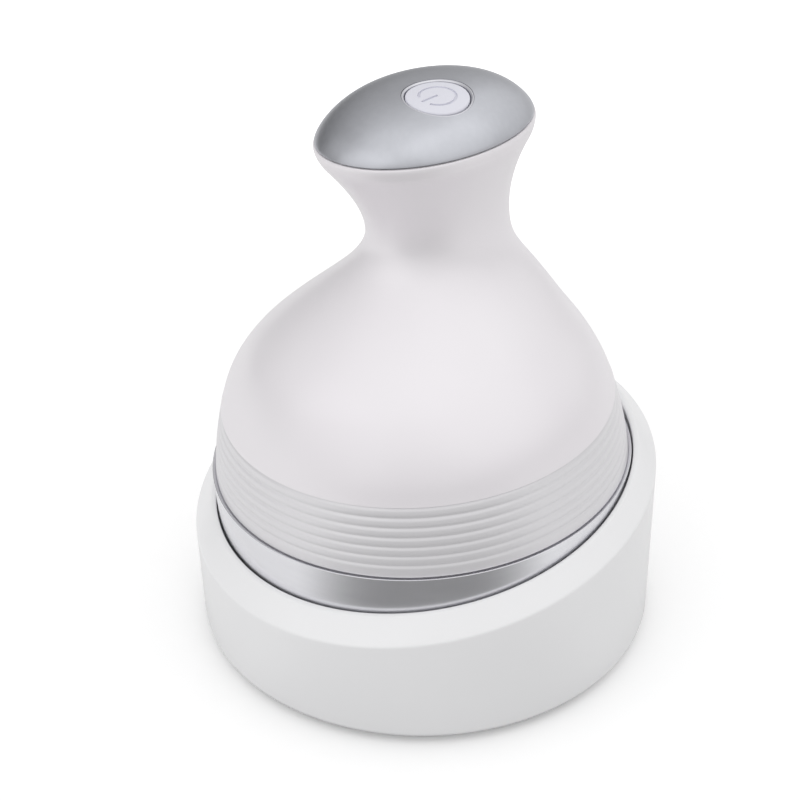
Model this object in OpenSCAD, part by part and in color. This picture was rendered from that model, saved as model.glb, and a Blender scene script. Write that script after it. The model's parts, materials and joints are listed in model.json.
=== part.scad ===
// Electric scalp massager resting in its charging stand.
// A bell-shaped handle with an oval metal-capped head carries four kneading
// heads that one motor turns through a ring of gears.
// Origin: centre of the foot on the table, +Z up. The stand's rim is low at
// the front (-Y) and high at the back (+Y), and the massager leans forwards.

/* [Massager body] */
// Outer radius of the bright band round the body
band_r = 48; // [46:0.5:52]
// Height of the bright band
band_h = 13.4; // [11:0.2:16]
// Step from the band in to the ribbed collar
band_step = 0.8; // [0.5:0.1:1.5]
// Height of the ribbed collar
collar_h = 15.4; // [14:0.1:20]
// How far the collar draws in from its lower edge to the smooth housing
collar_draw = 3.1; // [2:0.1:4.5]
// Number of grooves in the collar, the last one at its upper joint
groove_count = 7; // [4:1:8]
// Depth of each groove
groove_d = 0.4; // [0.3:0.1:0.8]
// Height of the narrowest part of the neck above the band
neck_h = 55.5; // [52:0.5:60]
// Half the neck's size from front to back
neck_half_y = 16.7; // [15.5:0.1:19]
// How far the neck's centre lies behind the body's axis
neck_shift = 8.6; // [6:0.1:9]
// Height of the metal plate's seam above the band
seam_h = 77.2; // [74:0.1:84]
// Half the head's size from front to back
head_half_y = 25; // [24:0.1:28]
// How far the head's centre lies behind the body's axis
head_shift = 6.7; // [5:0.1:8]
// Width of the oval neck and head as a share of their depth
oval_ratio = 0.79; // [0.76:0.01:0.95]
// Wall of the collar and the housing
body_wall = 2.1; // [1.6:0.1:2.6]
// Lean of the massager in its stand
lean = 2.9; // [0:0.1:4]

/* [Metal plate and button] */
// Height of the domed plate over its seam
dome_h = 8.6; // [7:0.2:10]
// Thickness of the plate
plate_t = 1.2; // [0.8:0.1:1.6]
// How far the head's rounded shoulder stands out beyond the plate's edge
lip_w = 0.5; // [0.3:0.1:1.2]
// Button's sideways offset from the plate's centre
button_x = 6.2; // [0:0.2:7]
// Button's front-to-back offset from the plate's centre
button_y = -1.4; // [-4:0.1:4]
// Radius of the button
button_r = 6.5; // [5:0.1:7]
// Travel of the button
button_travel = 0.5; // [0.3:0.1:0.8]

/* [Kneading heads] */
// Gap between two neighbouring heads
head_gap = 1.2; // [1:0.1:4]
// Length of the silicone fingers below their pad
finger_len = 13; // [10:0.5:13.5]
// Fingers on the outer circle of a head
outer_fingers = 14; // [8:1:15]
// Fingers on the inner circle of a head
inner_fingers = 7; // [4:1:7]
// Radius of a finger at its root
finger_r = 2.2; // [1.8:0.1:2.4]
// Teeth on each gear of the ring of four, a multiple of four
ring_teeth = 36; // [28:4:44]
// Teeth on the driven wheel
wheel_teeth = 45; // [41:4:49]
// Teeth on the motor's pinion
pinion_teeth = 18; // [16:1:20]
// Radius of the steel spindles
spindle_r = 3; // [2.6:0.1:3.2]

/* [Stand] */
// How far the stand's wall lies outside the bright band
stand_margin = 5.4; // [4.9:0.1:9]
// Wall of the stand's shell
stand_wall = 2.4; // [1.8:0.1:2.6]
// How far the rim's middle lies below the band's upper edge
rim_down = 3.9; // [2.5:0.1:6]
// Slant of the rim, high at the back
rim_tilt = 10.3; // [4:0.1:11]
// Drop of the rim from its inner edge to its outer corner
rim_drop = 4.4; // [3:0.2:6]
// Gap under the shell, filled by the rubber foot
foot_h = 1.5; // [1:0.1:2]
// Rounding of the shell's lower edge
shell_round = 2; // [1:0.5:3]
// Travel of the spring contacts
pin_travel = 0.8; // [0.4:0.1:1]

/* [Electrics] */
// Radius of the rechargeable cell
cell_r = 8.2; // [7:0.1:8.4]
// Room between the rechargeable cell and the height of the plate's seam
cell_gap = 4.3; // [3.5:0.1:9]
// Radius of the motor
motor_r = 12.2; // [10:0.1:13]
// Length of the motor
motor_len = 20; // [16:0.5:20]
// Width of the charging inlet
inlet_w = 8.94; // [8.6:0.02:9.2]

/* [Hidden] */
$fn = 96;

axis_y = -0.4;       // the massager's axis crosses the band line here
eps = 0.01;
slip = 0.05;         // running and sliding fits, per side
seat = 0.1;          // small clearance between seated pieces
air = 0.3;           // clearance round parts that turn

// Heights along the massager's axis, from the band's upper edge.
flange_t = 1.6;
base_w = -band_h - flange_t;
floor_w = base_w + 2.6;
boss_w = floor_w + 2.2;
bush_w = boss_w + 0.2;
gear_h = 5;
gear_w = bush_w + air;
mid_t = 1.6;
mid_w = gear_w + gear_h + 0.8;
wheel_h = 4;
wheel_w = mid_w + mid_t + 0.9;
plate_w = wheel_w + wheel_h + 1.2;
plate_h = 2;
gearbox_w = plate_w + plate_h;
gearbox_len = 12;
motor_w = gearbox_w + gearbox_len;
deck_w = motor_w + motor_len + 0.4;
deck_t = 1.6;
cell_w = deck_w + deck_t;
cell_len = seam_h - cell_gap - cell_w;

// Radii round the massager's axis.
collar_r = band_r - band_step;
shoulder_r = collar_r - collar_draw;
tub_r = band_r - 3.8;
tub_wall = 1.4;
tub_gap = 0.8;       // between the ring of four gears and the tub
flange_r = band_r - 0.4;
band_wall = 1.2;

// Kneading heads, counted round the axis from the back right one. Their ring
// of gears just fits the tub.
head_pitch = (tub_r - tub_wall - tub_gap) / (sqrt(1 / 2) + 1 / 2 + 1 / ring_teeth);
head_off = head_pitch / 2;
claw_r = (head_pitch - head_gap) / 2;
head_at = [[1, 1], [-1, 1], [-1, -1], [1, -1]];
gear_module = head_pitch / ring_teeth;
drive_distance = head_off * sqrt(2);
drive_module = 2 * drive_distance / (wheel_teeth + pinion_teeth);
carrier_w = base_w - 1.2;
carrier_t = 1.8;
pad_w = carrier_w - carrier_t;
pad_t = 2.4;
tip_w = pad_w - pad_t - finger_len;
tip_r = 0.6 * finger_r;
outer_ring = claw_r - finger_r - 0.8;
inner_ring = outer_ring * 0.48;
hub_r = 5;
hub_len = 3.6;

// Stand, along the same leaning axis.
stand_r = band_r + stand_margin;
dock_w = base_w - seat;
cradle_r = band_r + 0.5;
mouth_r = cradle_r + 0.2;
cradle_wall = 1.7;
pit_r = head_off * sqrt(2) + claw_r + 2.3;
pit_wall = 1.5;
pit_w = tip_w - 1.2;
pit_t = 1.6;
rim_r = mouth_r + 0.5;
rim_t = 2.2;
base_t = 2;
base_r = stand_r - stand_wall - 0.2;
pit_room = 2.85;     // under the middle of the pit's floor
line_z = foot_h + base_t + pit_room - (pit_w - pit_t) * cos(lean);
rim_z = line_z - rim_down;
reach = 60;          // longer than any cut it is used for

// Charging contacts, side by side at the back.
pad_x = 6;
contact_r = (pit_r + pit_wall + flange_r) / 2 - 0.1;
pad_y = sqrt(contact_r * contact_r - pad_x * pad_x);
pad_disc_r = 1.5;
pin_r = 0.9;
sleeve_r = 1.35;
sleeve_len = 9.6;

// Charging board and inlet at the stand's back.
board_z = foot_h + base_t + 0.4;
board_t = 1.2;
inlet_h = 3.16;
inlet_len = 7.4;
inlet_z = board_z + board_t + inlet_h / 2;
inlet_back = stand_r - 0.6;
board_back = inlet_back - 3.8;
board_len = 24;
board_half = 11.5;
board_post = board_back - 17;

// Metal plate, an oval dome with its centre at head_shift. It covers the top of
// the housing's rim, and its skirt stands on a ledge inside.
plate_half_y = head_half_y - lip_w;
plate_half_x = head_half_y * oval_ratio - lip_w;
plate_edge = 1.5;
rest_w = 0.8;        // width of the rim's top under the plate
seam_gap = 0.3;      // dark line left under the plate's edge
skirt_in = rest_w + seat;
hollow_in = skirt_in + plate_t;
button_share = norm([button_x / plate_half_x, button_y / plate_half_y]);
button_rise = dome_rise(dome_h, button_share);
button_normal = [
    dome_fall(dome_h, button_share) * button_x / pow(plate_half_x, 2),
    dome_fall(dome_h, button_share) * button_y / pow(plate_half_y, 2),
    1
];
button_slope = norm([button_normal[0], button_normal[1]]);

// Button and what carries it, along its own axis from the dome's surface. The
// tube round its rim stays clear of the plate, which falls away under it.
bezel_r = button_r + 0.75;
carrier_tube_r = bezel_r + 0.9;
far_share = (norm([button_x, button_y]) + carrier_tube_r) / (plate_half_x - hollow_in);
carrier_top = dome_rise(dome_h - plate_t, far_share) - button_rise
    + button_slope * carrier_tube_r - seat;
bezel_h = 0.4 - carrier_top;
cap_top = -0.15;
cap_sag = 0.6;
flange_down = -bezel_h - 0.3;
flange_len = 0.8;
switch_top = flange_down - flange_len - button_travel - 0.8;
switch_h = 2.6;
stem_r = 1.7;

ring_n = 60;         // points round each oval section

// --- shape functions ---------------------------------------------------

function smooth(t) = let (s = max(0, min(1, t))) s * s * (3 - 2 * s);

function bezier(p, t) =
    pow(1 - t, 3) * p[0] + 3 * t * pow(1 - t, 2) * p[1]
    + 3 * t * t * (1 - t) * p[2] + pow(t, 3) * p[3];

// Collar radius at a height: a slight taper that steepens upwards.
collar_taper = 0.1;
collar_round = (collar_r - shoulder_r - collar_taper * collar_h) / pow(collar_h, 2);
function collar_at(w) = collar_r - collar_taper * w - collar_round * w * w;
shoulder_slope = collar_taper + 2 * collar_round * collar_h;

// Side profile of the housing as two curves, in [height, half depth].
bell_span = neck_h - collar_h;
bell = [
    [collar_h, shoulder_r],
    [collar_h + 0.67 * bell_span, shoulder_r - 0.67 * bell_span * shoulder_slope],
    [neck_h - 0.32 * bell_span, neck_half_y],
    [neck_h, neck_half_y]
];
shoulder_h = seam_h - 2.4;
flare_span = shoulder_h - neck_h;
flare = [
    [neck_h, neck_half_y],
    [neck_h + 0.34 * flare_span, neck_half_y],
    [neck_h + 0.73 * flare_span, neck_half_y + 0.51 * (head_half_y - neck_half_y)],
    [shoulder_h, head_half_y]
];
bell_steps = 14;
flare_steps = 8;
housing_curve = concat(
    [for (i = [0 : bell_steps - 1]) bezier(bell, i / bell_steps)],
    [for (i = [0 : flare_steps]) bezier(flare, i / flare_steps)]
);

oval_start = collar_h + 3;
function ratio_at(w) = 1 - (1 - oval_ratio) * smooth((w - oval_start) / (neck_h - oval_start - 9));
shift_start = collar_h + 14;
function shift_at(w) =
    w < neck_h
    ? neck_shift * smooth((w - shift_start) / (neck_h - shift_start))
    : neck_shift + (head_shift - neck_shift) * smooth((w - neck_h) / (seam_h - neck_h));

// One oval section: [height, half depth, half width, shift to the back].
function section(w, half_y) = [w, half_y, half_y * ratio_at(w), shift_at(w)];
function inset(s, d, w) = [w, s[1] - d, s[2] - d, s[3]];
function ring(s) = [
    for (i = [0 : ring_n - 1])
        let (a = 360 * i / ring_n) [s[2] * cos(a), s[3] + s[1] * sin(a), s[0]]
];

// A closed skin through sections that run up the outside and down the inside.
module skin(sections) {
    n = len(sections);
    points = [for (s = sections) each ring(s)];
    faces = [
        for (k = [0 : n - 1]) for (i = [0 : ring_n - 1])
            let (j = (i + 1) % ring_n, a = k * ring_n, b = ((k + 1) % n) * ring_n)
                each [[a + i, b + i, b + j], [a + i, b + j, a + j]]
    ];
    polyhedron(points, faces);
}

// Rise of the dome at a share of its half size, and its fall per share, divided
// by that share: flatter on top than a ball, and less steep at its edge.
function dome_rise(height, share) = height * pow(1 - pow(share, 3), 0.8);
function dome_fall(height, share) = 2.4 * height * share * pow(1 - pow(share, 3), -0.2);

// An oval dome over a skirt that stands in from its edge, closed below.
module dome(half_y, half_x, height, skirt, steps) {
    sections = concat(
        [for (w = [-plate_edge, 0]) if (w < 0 || skirt > 0)
            [w, half_y - skirt, half_x - skirt, head_shift]],
        [for (i = [0 : steps - 1])
            let (a = 90 * i / steps)
                [dome_rise(height, cos(a)), half_y * cos(a), half_x * cos(a), head_shift]]
    );
    n = len(sections);
    top = n * ring_n;
    points = concat([for (s = sections) each ring(s)], [[0, head_shift, height]]);
    sides = [
        for (k = [0 : n - 2]) for (i = [0 : ring_n - 1])
            let (j = (i + 1) % ring_n, a = k * ring_n, b = a + ring_n)
                each [[a + i, b + i, b + j], [a + i, b + j, a + j]]
    ];
    cap = [for (i = [0 : ring_n - 1]) [top - ring_n + i, top, top - ring_n + (i + 1) % ring_n]];
    base = [[for (i = [0 : ring_n - 1]) i]];
    polyhedron(points, concat(sides, cap, base));
}

// --- gear functions ----------------------------------------------------

pressure = 20;
backlash = 0.1;
flank_steps = 5;

function involute(angle) = tan(angle) * 180 / PI - angle;
function flank_angle(r, base, half) =
    half + involute(pressure) - involute(acos(min(1, base / r)));

// Outline of a spur gear with one tooth centred on +X.
function gear_outline(teeth, size) =
    let (
        pitch = teeth * size / 2,
        base = pitch * cos(pressure),
        tip = pitch + size,
        root = pitch - 1.25 * size,
        low = max(base, root + 0.1 * size),
        half = 90 / teeth - backlash / pitch * 90 / PI,
        side = [for (i = [0 : flank_steps])
            let (r = low + (tip - low) * i / flank_steps) [r, flank_angle(r, base, half)]],
        foot = [[root, side[0][1] + 0.06 * 180 / teeth]]
    )
    [for (k = [0 : teeth - 1])
        each [for (p = concat(
                [for (q = concat(foot, side)) [q[0], -q[1]]],
                [for (i = [flank_steps : -1 : 0]) side[i]],
                foot))
            let (a = 360 * k / teeth + p[1]) [p[0] * cos(a), p[0] * sin(a)]]];

module spur(teeth, size, height, shaft_r, turn) {
    rotate(turn) linear_extrude(height) difference() {
        polygon(gear_outline(teeth, size));
        rotate(-turn) circle(r = shaft_r, $fn = 6);
    }
}

// --- placing -----------------------------------------------------------

// The massager's own axis: it leans forwards in the stand.
module docked() {
    translate([0, axis_y, line_z]) rotate([lean, 0, 0]) children();
}

module up(w) {
    translate([0, 0, w]) children();
}

module at_head(k) {
    docked() translate([head_at[k - 1][0] * head_off, head_at[k - 1][1] * head_off, 0]) children();
}

module at_heads() {
    for (p = head_at) translate([p[0] * head_off, p[1] * head_off, 0]) children();
}

module at_contacts() {
    for (x = [-pad_x, pad_x]) translate([x, pad_y, 0]) children();
}

// The button's axis, square to the dome, with zero on the dome's surface.
module at_button() {
    docked() translate([button_x, head_shift + button_y, seam_h + button_rise])
        rotate([0, acos(button_normal[2] / norm(button_normal)),
                atan2(button_normal[1], button_normal[0])])
            children();
}

module tube(outer, inner, height) {
    difference() {
        cylinder(r = outer, h = height);
        up(-1) cylinder(r = inner, h = height + 2);
    }
}

// Everything under the stand's slanted rim, lowered by a given depth.
module under_rim(depth) {
    spread = reach * (stand_r - rim_r) / rim_drop;
    translate([0, 0, rim_z]) rotate([rim_tilt, 0, 0])
        up(-depth - reach) cylinder(r1 = rim_r + spread, r2 = rim_r, h = reach);
}

// --- stand -------------------------------------------------------------

module rounded_inlet(width, height, length) {
    translate([0, inlet_back, inlet_z]) rotate([90, 0, 0]) linear_extrude(length)
        union() {
            for (s = [-1, 1]) translate([s * (width - height) / 2, 0]) circle(d = height, $fn = 32);
            square([width - height, height], center = true);
        }
}

module stand_shell() {
    corner = [for (i = [0 : 4])
        let (a = -90 + 90 * i / 4)
            [stand_r - shell_round + shell_round * cos(a), foot_h + shell_round + shell_round * sin(a)]];
    color("whitesmoke") difference() {
        intersection() {
            rotate_extrude() polygon(concat([[0, foot_h]], corner, [[stand_r, reach], [0, reach]]));
            under_rim(0);
        }
        intersection() {
            cylinder(r = stand_r - stand_wall, h = reach);
            under_rim(rim_t);
        }
        docked() up(-line_z) cylinder(r = mouth_r, h = reach);
        translate([0, 2, 0]) rounded_inlet(inlet_w + 0.5, inlet_h + 0.5, 6);
    }
}

module stand_cradle() {
    color("gainsboro") difference() {
        intersection() {
            docked() rotate_extrude() polygon([
                [0, pit_w - pit_t], [pit_r + pit_wall, pit_w - pit_t],
                [pit_r + pit_wall, dock_w - pit_t], [cradle_r + cradle_wall, dock_w - pit_t],
                [cradle_r + cradle_wall, collar_h], [cradle_r, collar_h],
                [cradle_r, dock_w], [pit_r, dock_w],
                [pit_r, pit_w], [0, pit_w]
            ]);
            under_rim(rim_t + seat);
        }
        docked() at_contacts() up(dock_w - 4) cylinder(r = sleeve_r + slip, h = 8);
    }
}

module stand_base() {
    color("silver") difference() {
        union() {
            up(foot_h) cylinder(r = base_r, h = base_t);
            for (s = [-1, 1]) translate([s * (board_half - 3.5), board_post, foot_h + base_t - eps])
                cylinder(r = 2, h = board_z - foot_h - base_t + eps);
        }
        up(foot_h - 1) tube(foot_outer + seat, foot_inner - seat, 1 + foot_sunk);
        for (a = [45 : 90 : 315]) rotate(a) translate([screw_at, 0, 0]) {
            cylinder(r = 3, h = foot_h + 1.2);
            cylinder(r = 1.2, h = foot_h + base_t + 1);
        }
    }
}

foot_outer = base_r - 1.8;
foot_inner = foot_outer - 5;
foot_sunk = 0.8;
screw_at = foot_inner - 8;
module stand_foot() {
    color("dimgray") tube(foot_outer, foot_inner, foot_h + foot_sunk);
}

weight_inner = pit_r + pit_wall + 2.4;
weight_h = 8;
module stand_weight() {
    color("slategray") up(foot_h + base_t) difference() {
        tube(base_r - 0.3, weight_inner, weight_h);
        translate([-board_half - 3.5, 0, -1]) cube([2 * board_half + 7, stand_r, weight_h + 2]);
    }
}

module stand_board() {
    color("darkgreen") translate([0, board_back - board_len, board_z]) {
        translate([-board_half, 0, 0]) cube([2 * board_half, board_len, board_t]);
        translate([-3, 8, board_t - eps]) cube([5, 5, 1]);
        translate([4.5, 4, board_t - eps]) cube([3, 4, 0.9]);
    }
}

tongue_w = 6.7;
tongue_t = 0.7;
module usb_port() {
    color("lightgray") {
        difference() {
            rounded_inlet(inlet_w, inlet_h, inlet_len);
            translate([0, 1, 0]) rounded_inlet(inlet_w - 0.6, inlet_h - 0.6, inlet_len - 0.2);
        }
        translate([-tongue_w / 2, inlet_back - inlet_len + 0.2, inlet_z - tongue_t / 2])
            cube([tongue_w, inlet_len - 2, tongue_t]);
    }
}

module pin_sleeves() {
    color("gold") docked() at_contacts() up(dock_w - sleeve_len - 0.3) difference() {
        cylinder(r = sleeve_r, h = sleeve_len);
        up(1) cylinder(r = pin_r + slip, h = sleeve_len);
    }
}

// One spring contact, its tip just under the massager's pad.
module pin(side) {
    top = base_w - slip;
    low = dock_w - sleeve_len + pin_travel + 1.4;
    color("goldenrod") docked() translate([side * pad_x, pad_y, 0]) {
        up(low) cylinder(r = pin_r, h = top - 0.4 - low);
        up(top - 0.4) cylinder(r1 = pin_r, r2 = pin_r - 0.4, h = 0.4);
    }
}

module pin_left() { pin(-1); }
module pin_right() { pin(1); }

// --- massager shell ----------------------------------------------------

module upper_housing() {
    n = len(housing_curve);
    outer = [for (p = housing_curve) section(p[0], p[1])];
    last = outer[n - 1];
    rim = [
        inset(last, 0.1 * lip_w, seam_h - 1.6),
        inset(last, 0.4 * lip_w, seam_h - 0.9),
        inset(last, 0.9 * lip_w, seam_h - seam_gap),
        inset(last, lip_w + rest_w, seam_h - seam_gap),
        inset(last, lip_w + rest_w, seam_h - plate_edge),
        inset(last, lip_w + rest_w + 1.5, seam_h - plate_edge)
    ];
    inner = [for (i = [n - 3 : -2 : 0]) inset(outer[i], body_wall, outer[i][0])];
    foot = inner[len(inner) - 1][0] > collar_h ? [inset(outer[0], body_wall, collar_h)] : [];
    color("white") docked() skin(concat(outer, rim, inner, foot));
}

groove_pitch = 2.11;
groove_half = 0.38;
module rib_collar() {
    grooves = [for (i = [groove_count - 1 : -1 : 1]) collar_h - i * groove_pitch];
    outer = concat(
        [[collar_at(0), 0]],
        [for (w = grooves) each [
            [collar_at(w - groove_half), w - groove_half],
            [collar_at(w) - groove_d, w],
            [collar_at(w + groove_half), w + groove_half]]],
        [[collar_at(collar_h - groove_half), collar_h - groove_half],
         [shoulder_r - groove_d, collar_h]]
    );
    inner = [for (i = [4 : -1 : 0]) let (w = collar_h * i / 4) [collar_at(w) - body_wall, w]];
    color("ghostwhite") docked() rotate_extrude() polygon(concat(outer, inner));
}

module trim_band() {
    lip = 1.6;
    color("silver") docked() rotate_extrude() polygon([
        [band_r - band_wall, -band_h], [band_r - 0.2, -band_h], [band_r, -band_h + 0.2],
        [band_r, -0.3], [band_r - 0.3, 0], [collar_r - body_wall, 0],
        [collar_r - body_wall, -lip], [band_r - band_wall, -lip]
    ]);
}

post_r = 2.5;
post_at = tub_r - tub_wall - post_r - 2.4;
module at_posts() {
    for (a = [0 : 90 : 270]) rotate(a) translate([post_at, 0, 0]) children();
}

module base_plate() {
    color("white") docked() difference() {
        union() {
            up(base_w) cylinder(r = flange_r, h = flange_t);
            up(base_w) cylinder(r = tub_r, h = plate_w - base_w);
        }
        difference() {
            up(floor_w) cylinder(r = tub_r - tub_wall, h = plate_w - floor_w + 1);
            up(floor_w - 1) at_heads() cylinder(r = 6, h = boss_w - floor_w + 1);
            up(floor_w - 1) at_posts() cylinder(r = post_r, h = mid_w - floor_w + 1);
        }
        at_heads() {
            up(base_w - 1) cylinder(r = bush_outer + 0.02, h = 20);
            up(base_w - 1) cylinder(r = seal_r + slip, h = 1 + seal_h);
        }
        at_contacts() up(base_w - 1) cylinder(r = pad_disc_r + slip, h = 1.7);
    }
}

bush_outer = 4.5;
module bushings() {
    low = base_w + seal_h + seat;
    color("peru") docked() at_heads() up(low)
        tube(bush_outer, spindle_r + slip, bush_w - low);
}

seal_r = 5.5;
seal_h = 1.1;
module shaft_seals() {
    color("black") docked() at_heads() up(base_w) tube(seal_r, spindle_r + air, seal_h);
}

module contact_pads() {
    color("gold") docked() at_contacts() up(base_w) cylinder(r = pad_disc_r, h = 0.65);
}

journal_r = 2;
shaft_r = 2;
shaft_tip_r = 1.5;
top_pin_r = 1.2;
module mid_plate() {
    color("lightsteelblue") docked() difference() {
        up(mid_w) cylinder(r = tub_r - tub_wall - 0.2, h = mid_t);
        at_heads() up(mid_w - 1) cylinder(r = journal_r + slip, h = 4);
        up(mid_w - 1) cylinder(r = shaft_tip_r + slip, h = 4);
    }
}

module motor_plate() {
    color("lightsteelblue") docked() difference() {
        union() {
            up(plate_w) cylinder(r = tub_r - 0.3, h = plate_h);
            at_posts() up(mid_w + mid_t) cylinder(r = post_r, h = plate_w - mid_w - mid_t + eps);
        }
        up(plate_w - 1) cylinder(r = shaft_r + 1.4, h = 4);
        translate([head_off, head_off, plate_w - 1]) cylinder(r = top_pin_r + slip, h = 4);
    }
}

// --- drive -------------------------------------------------------------

gearbox_foot = 2.6;
module gearbox() {
    color("gray") docked() up(gearbox_w) difference() {
        union() {
            cylinder(r = motor_r + 0.3, h = gearbox_len);
            cylinder(r = motor_r + gearbox_foot, h = 1.5);
        }
        up(-1) cylinder(r = shaft_r + slip, h = gearbox_len / 2 + 1.4);
    }
}

motor_boss = 4;
module motor() {
    color("lightgray") docked() up(motor_w) {
        cylinder(r = motor_r, h = motor_len - 1.5);
        up(motor_len - 1.5 - eps) cylinder(r = motor_r - 1, h = 1.5 + eps);
        up(motor_len - eps) cylinder(r = motor_boss, h = 1.2);
    }
}

module drive_shaft() {
    color("silver") docked() {
        up(mid_w + 0.2) cylinder(r = shaft_tip_r, h = wheel_w - mid_w - 0.2);
        up(wheel_w - eps) cylinder(r = shaft_r, h = wheel_h + eps, $fn = 6);
        up(wheel_w + wheel_h - eps)
            cylinder(r = shaft_r, h = gearbox_w + gearbox_len / 2 - wheel_w - wheel_h);
    }
}

module drive_pinion() {
    color("goldenrod") docked() up(wheel_w)
        spur(pinion_teeth, drive_module, wheel_h, shaft_r, 45 + 180 / pinion_teeth);
}

module drive_wheel() {
    color("ivory") at_head(1) up(wheel_w)
        spur(wheel_teeth, drive_module, wheel_h, journal_r - 0.1, 225);
}

// The ring of four: neighbours mesh and turn opposite ways.
module ring_gear(k) {
    color("ivory") at_head(k) up(gear_w)
        spur(ring_teeth, gear_module, gear_h, spindle_r, k % 2 == 0 ? 180 / ring_teeth : 0);
}

module ring_gear_1() { ring_gear(1); }
module ring_gear_2() { ring_gear(2); }
module ring_gear_3() { ring_gear(3); }
module ring_gear_4() { ring_gear(4); }

// Six-sided where the gear and the carrier sit, round in the bearings.
module spindle(k) {
    low = pad_w - hub_len;
    color("silver") at_head(k) {
        up(low) cylinder(r = spindle_r, h = carrier_w - low, $fn = 6);
        up(carrier_w - eps) cylinder(r = spindle_r, h = gear_w - carrier_w + eps);
        up(gear_w - eps) cylinder(r = spindle_r, h = gear_h + eps, $fn = 6);
        up(gear_w + gear_h - eps) cylinder(r = journal_r, h = mid_w + mid_t - gear_w - gear_h - 0.2);
        if (k == 1) {
            up(mid_w + mid_t - 0.3) cylinder(r = journal_r, h = wheel_w - mid_w - mid_t + 0.3);
            up(wheel_w - eps) cylinder(r = journal_r - 0.1, h = wheel_h + eps, $fn = 6);
            up(wheel_w + wheel_h - eps)
                cylinder(r = top_pin_r, h = plate_w + plate_h - wheel_w - wheel_h - 0.3);
        }
    }
}

module spindle_1() { spindle(1); }
module spindle_2() { spindle(2); }
module spindle_3() { spindle(3); }
module spindle_4() { spindle(4); }

// --- kneading heads ----------------------------------------------------

module carrier(k) {
    color("white") at_head(k) difference() {
        union() {
            up(pad_w) cylinder(r = claw_r - 1.5, h = carrier_t);
            up(pad_w - hub_len) cylinder(r = hub_r, h = hub_len + eps);
        }
        up(pad_w - hub_len - 1) cylinder(r = spindle_r, h = hub_len + carrier_t + 2, $fn = 6);
    }
}

module carrier_1() { carrier(1); }
module carrier_2() { carrier(2); }
module carrier_3() { carrier(3); }
module carrier_4() { carrier(4); }

// A tapered silicone finger that ends in a round tip.
module finger() {
    round_tip = [for (i = [0 : 3])
        let (a = 90 * i / 3) [tip_r * cos(a), -finger_len + tip_r - tip_r * sin(a)]];
    rotate_extrude($fn = 32) polygon(concat([[0, 0.5], [finger_r, 0.5], [finger_r, 0]], round_tip));
}

module finger_ring(count, radius, turn) {
    for (i = [0 : count - 1]) rotate(turn + 360 * i / count) translate([radius, 0, 0]) finger();
}

module claw(k) {
    low = pad_w - pad_t;
    skirt = carrier_t - 0.4;
    color("lightgray") at_head(k) {
        rotate_extrude() polygon([
            [hub_r + 0.02, low], [claw_r - 1.2, low], [claw_r, low + 1.2],
            [claw_r, pad_w + skirt], [claw_r - 1.4, pad_w + skirt],
            [claw_r - 1.4, pad_w], [hub_r + 0.02, pad_w]
        ]);
        up(low) {
            finger_ring(outer_fingers, outer_ring, 0);
            finger_ring(inner_fingers, inner_ring + 0.9, 0);
        }
    }
}

module claw_1() { claw(1); }
module claw_2() { claw(2); }
module claw_3() { claw(3); }
module claw_4() { claw(4); }

// --- inner frame and electrics ----------------------------------------

column_r = 2.2;
column_at = motor_r + 5;
module chassis() {
    cup_r = cell_r + 0.1;
    cup_wall = 1.2;
    rail_h = cell_len - 2;
    color("darkgray") docked() {
        for (a = [90, 210, 330]) rotate(a) translate([column_at, 0, gearbox_w])
            cylinder(r = column_r, h = deck_w - gearbox_w + eps);
        difference() {
            up(deck_w) translate([0, 1, 0]) cylinder(r = column_at + 2.6, h = deck_t);
            up(deck_w - 1) cylinder(r = motor_boss + 0.4, h = deck_t + 2);
        }
        translate([0, neck_shift, cell_w - eps]) {
            tube(cup_r + cup_wall, cup_r, 6);
            intersection() {
                tube(cup_r + cup_wall, cup_r, rail_h);
                translate([-2 * cup_r, -3, 0]) cube([4 * cup_r, 6, rail_h]);
            }
        }
    }
}

module cell() {
    color("royalblue") docked() translate([0, neck_shift, cell_w]) {
        cylinder(r = cell_r, h = cell_len);
        up(cell_len - eps) cylinder(r = 2.6, h = 0.6);
    }
}

// The drive's board stands upright in front of the gearbox and motor.
logic_half = 13;
logic_h = 25;
module main_board() {
    front = -motor_r - gearbox_foot - seat - board_t;
    color("darkgreen") docked() translate([0, front, gearbox_w]) {
        translate([-logic_half, 0, 0]) cube([2 * logic_half, board_t, logic_h]);
        translate([-4, -1.2, 8]) cube([7, 1.2 + eps, 7]);
        translate([5, -1, 17]) cube([4, 1 + eps, 5]);
        translate([-10, -3, 18]) cube([5, 3 + eps, 5]);
    }
}

// --- head plate and button --------------------------------------------

module top_plate() {
    color("silver") difference() {
        docked() up(seam_h) difference() {
            dome(plate_half_y, plate_half_x, dome_h, skirt_in, 12);
            translate([0, 0, -eps])
                dome(plate_half_y - hollow_in, plate_half_x - hollow_in, dome_h - plate_t, 0, 8);
        }
        at_button() up(-6) cylinder(r = bezel_r + 0.1, h = 12, $fn = 48);
    }
}

module button_bezel() {
    high = cap_top - cap_sag;
    color("gray") at_button() rotate_extrude() polygon([
        [button_r + 0.25, -bezel_h], [bezel_r, -bezel_h], [bezel_r, high - 0.15],
        [bezel_r - 0.15, high], [button_r + 0.4, high], [button_r + 0.25, high - 0.2]
    ]);
}

module button_carrier() {
    low = switch_top - switch_h;
    color("darkgray") at_button() up(low) tube(carrier_tube_r, bezel_r + slip, carrier_top - low);
}

module switch_board() {
    color("darkgreen") at_button() up(switch_top - switch_h - board_t)
        cylinder(r = carrier_tube_r, h = board_t);
}

module tact_switch() {
    color("black") at_button() difference() {
        translate([-3, -3, switch_top - switch_h]) cube([6, 6, switch_h]);
        up(switch_top - 2) cylinder(r = stem_r + slip, h = 4);
    }
}

module switch_stem() {
    color("white") at_button() up(switch_top - 0.9)
        cylinder(r = stem_r, h = flange_down - flange_len - switch_top + 0.9);
}

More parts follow.
